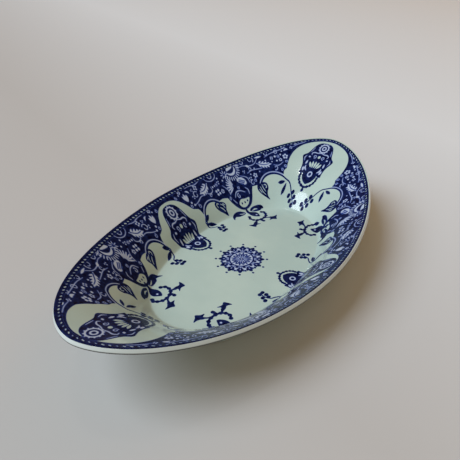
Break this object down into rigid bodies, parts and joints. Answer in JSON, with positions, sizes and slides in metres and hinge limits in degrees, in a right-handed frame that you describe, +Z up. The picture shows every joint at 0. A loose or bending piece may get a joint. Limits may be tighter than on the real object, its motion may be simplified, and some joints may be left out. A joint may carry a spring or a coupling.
{
  "type": "appetizer dish",
  "caption": "Boat-shaped oval serving dish with swept-up ends, a flat well on a foot ring and a printed border, for appetizers.",
  "frame": {"origin": "on the surface that the dish stands on, under the middle of the well", "axes": "+X along the dish to one end, +Y across it, +Z up"},
  "size_m": [0.2324, 0.113, 0.0397],
  "materials": {
    "earthenware": "fired white earthenware, matt where it is bare",
    "clear_glaze": "clear glaze with a faint green tint, gloss",
    "cobalt_print": "cobalt blue underglaze print"
  },
  "bodies": {
    "root": {"clay_body": "earthenware", "foot_ring": "earthenware", "glaze_coat": "clear_glaze", "glaze_recess": "clear_glaze", "edge_line": "cobalt_print", "border_right_back": "cobalt_print", "border_left_back": "cobalt_print", "border_left_front": "cobalt_print", "border_right_front": "cobalt_print", "sprig_right_back": "cobalt_print", "sprig_left_back": "cobalt_print", "sprig_left_front": "cobalt_print", "sprig_right_front": "cobalt_print", "drop_right_end": "cobalt_print", "drop_left_end": "cobalt_print", "drop_back_side": "cobalt_print", "drop_front_side": "cobalt_print", "centre_rosette": "cobalt_print"}
  },
  "joints": []
}
